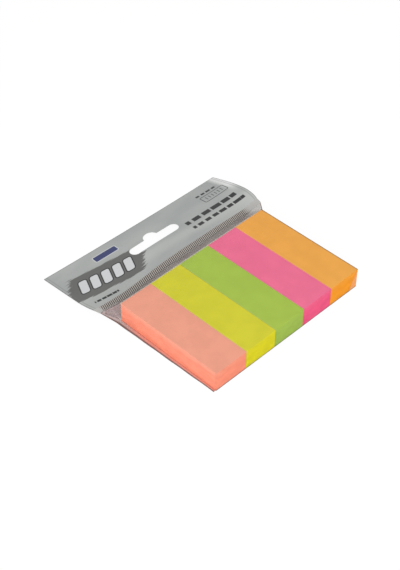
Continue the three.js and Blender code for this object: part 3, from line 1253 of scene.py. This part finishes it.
def flat_point(tree, point, centre, turn=0.0, slant=0.0):
    """The point on the header seen from a motif's own centre, turned and slanted."""
    across, along, _ = axes(tree, point)
    x = calc(tree, "SUBTRACT", across, centre[0])
    y = calc(tree, "SUBTRACT", along, WELD_END + centre[1])
    cosine, sine = math.cos(math.radians(turn)), math.sin(math.radians(turn))
    u = calc(tree, "ADD", times(tree, x, cosine), times(tree, y, sine))
    v = calc(tree, "SUBTRACT", times(tree, y, cosine), times(tree, x, sine))
    if slant:
        u = calc(tree, "SUBTRACT", u, times(tree, v, slant))
    return u, v


def box_distance(tree, u, v, half, radius):
    """Distance to a rounded box, less than zero inside it."""
    outside = []
    for value, size in zip((u, v), half):
        gap = calc(tree, "SUBTRACT", calc(tree, "ABSOLUTE", value), size - radius)
        outside.append(calc(tree, "MAXIMUM", gap, 0))
    squares = [times(tree, gap, gap) for gap in outside]
    return calc(tree, "SUBTRACT", calc(tree, "SQRT", calc(tree, "ADD", *squares)), radius)


def inside(tree, distance, soft=PRINT_SOFT):
    return fade(tree, distance, -soft, soft)


def grown(tree, distance, width):
    """Inside of the shape with a rim of this width round it."""
    return inside(tree, calc(tree, "SUBTRACT", distance, width))


print("print edges fade over", 2 * PRINT_SOFT, "mm")

# %% [markdown]
# The ground is a silver grey with slow tones along the header and one soft light band by
# the ribs, which is a painted highlight. Its outer right corner, which arches up, is painted
# light too, a painted highlight where it catches the light.

# %% Silver ground
SILVER = {"dark": (160, 164, 162), "light": (174, 177, 174), "band": (187, 189, 185),
          "rim": (112, 112, 112), "lit": (238, 239, 237)}
HIGHLIGHT_BAND = {"centre": (8, 6.2), "turn": -4, "half": (0.5, 4.5), "waver": 6, "share": 0.6}
LIT = {"side": (1.5, 4.5), "share": 0.9, "across": (20, 32), "along": (9, 17)}


def silver(tree, point):
    _, v = flat_point(tree, point, HIGHLIGHT_BAND["centre"], HIGHLIGHT_BAND["turn"])
    waver = times(tree, calc(tree, "SUBTRACT", noise(tree, point, 0.05), 0.5), HIGHLIGHT_BAND["waver"])
    # The light band by the ribs is a painted highlight.
    band = fade(tree, calc(tree, "ABSOLUTE", calc(tree, "ADD", v, waver)), *HIGHLIGHT_BAND["half"])
    slow = ramp(tree, noise(tree, point, 0.09, detail=2, stretch=(0.4, 1, 1)), 0.3, 0.7)
    tone = mix_colour(tree, slow, linear(*SILVER["dark"]), linear(*SILVER["light"]))
    return mix_colour(tree, times(tree, band, HIGHLIGHT_BAND["share"]), tone, linear(*SILVER["band"]))


def header_ground(tree, point, side):
    """The silver with its painted highlight on the lit corner; side is the distance to the side edge.
    """
    across, along, _ = axes(tree, point)
    near, far = LIT["along"]
    # The lit corner is a painted highlight.
    lit = times(tree, ramp(tree, side, *LIT["side"], LIT["share"], 0.0),
                ramp(tree, across, *LIT["across"]),
                ramp(tree, along, WELD_END + near, WELD_END + far))
    return mix_colour(tree, lit, silver(tree, point), linear(*SILVER["lit"]))


print("silver tones", list(SILVER))

# %% [markdown]
# On the left lies a dark streaked field with five light tab shapes in it. Its ragged ends
# are noise that is stretched along the strokes and added to the distance.

# %% Field and tab shapes
FIELD = {"centre": (-26.3, 11.8), "half": (17.0, 6.9), "turn": -9, "slant": 0.6,
         "streak": 5.5, "share": 0.93}
TABS = {"count": 5, "pitch": 5.1, "half": (1.75, 3.5), "radius": 0.9, "edge": 0.5,
        "slant": 0.3}


def streaked_field(tree, point):
    u, v = flat_point(tree, point, FIELD["centre"], FIELD["turn"], FIELD["slant"])
    bristles = noise(tree, point, 1.0, detail=3, roughness=0.7, stretch=(0.05, 1.5, 1))
    ragged = times(tree, calc(tree, "SUBTRACT", bristles, 0.5), 2 * FIELD["streak"])
    ends = calc(tree, "ADD", calc(tree, "ABSOLUTE", u), ragged)
    sides = calc(tree, "ADD", calc(tree, "ABSOLUTE", v), times(tree, ragged, 0.25))
    ends, sides = (calc(tree, "SUBTRACT", value, size)
                   for value, size in zip((ends, sides), FIELD["half"]))
    return times(tree, inside(tree, ends, 0.3), inside(tree, sides, 0.2))


def tab_row(tree, point):
    """Masks of the light tab shapes and of their dark edges."""
    u, v = flat_point(tree, point, FIELD["centre"], FIELD["turn"], TABS["slant"])
    pitch = TABS["pitch"]
    reach = TABS["count"] * pitch / 2
    each = calc(tree, "WRAP", u, reach, reach - pitch)
    each = calc(tree, "SUBTRACT", each, reach - pitch / 2)
    shape = box_distance(tree, each, v, TABS["half"], TABS["radius"])
    row = fade(tree, calc(tree, "ABSOLUTE", u), reach - 0.1, reach)
    return times(tree, inside(tree, shape), row), times(tree, grown(tree, shape, TABS["edge"]), row)


print("tab shapes", TABS["count"])

# %% [markdown]
# The rest is a navy bar with a light rim, four rows of plain dashes, and a small framed box
# with upright lines in it. White noise gives each dash a length of its own.

# %% Bars, dashes and box
BAR = {"centre": (-18.0, 22.2), "half": (5.4, 1.5), "radius": 0.5, "turn": -3, "rim": 0.35}
BOX = {"centre": (36.4, 16.6), "half": (6.0, 2.1), "radius": 0.5, "turn": -3, "line": 0.3,
       "core": (4.6, 1.0), "share": 0.8}
DASH_ROWS = [
    {"centre": (-34.2, 2.6), "half": (5.6, 0.55), "turn": -5, "pitch": 2.4, "share": 0.75},
    {"centre": (28.0, 9.8), "half": (13.2, 1.15), "turn": -3, "pitch": 5.2, "share": 0.7},
    {"centre": (28.6, 5.6), "half": (13.6, 0.9), "turn": -3, "pitch": 3.9, "share": 0.66},
    {"centre": (35.2, 20.6), "half": (5.6, 0.55), "turn": -3, "pitch": 2.8, "share": 0.58},
]
DASH_ROUND = 0.2
DASH_SPREAD = 0.4


def dashes(tree, point, row):
    """A row of short plain bars."""
    u, v = flat_point(tree, point, row["centre"], row["turn"])
    strip = inside(tree, box_distance(tree, u, v, row["half"], DASH_ROUND))
    pitch = row["pitch"]
    index = calc(tree, "FLOOR", calc(tree, "DIVIDE", u, pitch))
    length = node(tree, "ShaderNodeTexWhiteNoise", noise_dimensions="1D",
                  inputs={"W": index}).outputs["Value"]
    within = away(tree, calc(tree, "WRAP", u, pitch, 0), pitch / 2)
    end = calc(tree, "ADD", times(tree, length, DASH_SPREAD), row["share"])
    return times(tree, strip, grown(tree, within, times(tree, end, pitch / 2)))


def bar_masks(tree, point):
    """The bar with its rim, and the bar alone."""
    u, v = flat_point(tree, point, BAR["centre"], BAR["turn"])
    bar = box_distance(tree, u, v, BAR["half"], BAR["radius"])
    return grown(tree, bar, BAR["rim"]), inside(tree, bar)


def box_masks(tree, point):
    """The outline of the box, and the lines in it."""
    u, v = flat_point(tree, point, BOX["centre"], BOX["turn"])
    edge = calc(tree, "ABSOLUTE", box_distance(tree, u, v, BOX["half"], BOX["radius"]))
    lines = ramp(tree, calc(tree, "PINGPONG", u, 0.8), 0.5, 0.7)
    core = inside(tree, box_distance(tree, u, v, BOX["core"], DASH_ROUND))
    return grown(tree, edge, BOX["line"] / 2), times(tree, times(tree, lines, core), BOX["share"])


print("rows of dashes", len(DASH_ROWS))

# %% [markdown]
# The header's edges aren't straight, so the distances to the side edge and to the outer
# edge come from two attributes of the mesh. They draw the side seam and the greyer rim. A
# third one marks the upper side, because the underside has no print.

# %% Header material
DARK = (88, 88, 85)
INK = (32, 32, 34)
NAVY = (44, 52, 104)
LIGHT_TAB = (206, 208, 209)
SEAM_LINE = [(0.9, 1.1), (1.3, 1.5)]
SEAM_SHARE = 0.35
RIM_LINE = (0.12, 0.42)
RIM_GREY = 0.7


def header_material():
    material, tree = new_material("printed_header")
    point = place_mm(tree)
    side, outer, upper = (node(tree, "ShaderNodeAttribute", attribute_name=name).outputs["Fac"]
                          for name in ("side_gap", "outer_gap", "upper"))
    ground = header_ground(tree, point, side)
    light, edge = tab_row(tree, point)
    bar_rim, bar = bar_masks(tree, point)
    layers = [(times(tree, streaked_field(tree, point), FIELD["share"]), DARK),
              (edge, INK), (light, LIGHT_TAB), (bar_rim, LIGHT_TAB), (bar, NAVY)]
    layers += [(dashes(tree, point, row), INK) for row in DASH_ROWS]
    layers += [(mask, INK) for mask in box_masks(tree, point)]
    colour = ground
    for mask, ink in layers:
        colour = mix_colour(tree, mask, colour, linear(*ink))
    colour = mix_colour(tree, upper, ground, colour)
    rise, fall = SEAM_LINE
    seam = times(tree, ramp(tree, side, *rise), fade(tree, side, *fall))
    colour = mix_colour(tree, times(tree, seam, SEAM_SHARE), colour, linear(*SILVER["rim"]))
    rim = ramp(tree, calc(tree, "MINIMUM", side, outer), *RIM_LINE, RIM_GREY, 0.0)
    colour = mix_colour(tree, rim, colour, linear(*SILVER["rim"]))
    fine = noise(tree, point, 0.25, detail=2, stretch=(0.5, 1, 1))
    shader = node(tree, "ShaderNodeBsdfPrincipled",
                  inputs={"Base Color": colour, "Roughness": 0.32,
                          "Normal": bump(tree, fine, 0.00005, 0.3)})
    shader.inputs["Coat Weight"].default_value = 0.35
    shader.inputs["Coat Roughness"].default_value = 0.12
    finish_material(tree, shader.outputs[0])
    return material


printed_header = header_material()
print("header", printed_header.name)

# %% [markdown]
# The header's grid is bent, thickened and cut, and only then gets its attributes, because
# the cuts make new points. A point above the middle surface belongs to the upper side.

# %% Header film
HEADER_COLUMNS = 120
HEADER_ROWS = 44


def header():
    bm = bmesh.new()
    bmesh.ops.create_grid(bm, x_segments=HEADER_COLUMNS, y_segments=HEADER_ROWS, size=1)
    for vert in bm.verts:
        vert.co = header_place(vert.co.x, (vert.co.y + 1) / 2) * MM
    bmesh.ops.recalc_face_normals(bm, faces=bm.faces)
    piece = add_piece("header_film", bm, [printed_header], "film_bag")
    thicken(piece, HEADER_THICKNESS)
    for cutter in slot_cutters():
        cut(piece, cutter)
    side_gap, outer_gap, upper = (piece.data.attributes.new(name, "FLOAT", "POINT").name
                                  for name in ("side_gap", "outer_gap", "upper"))
    values = piece.data.attributes
    for vert in piece.data.vertices:
        x, y = vert.co.x / MM, vert.co.y / MM
        across, along = header_shares(x, y)
        middle = header_place(across, clamp(along))
        values[side_gap].data[vert.index].value = (1 - abs(across)) * film_half(y)
        values[outer_gap].data[vert.index].value = (1 - along) * HEADER_REACH
        values[upper].data[vert.index].value = float(vert.co.z / MM > middle.z)
    smooth(piece, 50)
    return piece


report(header())
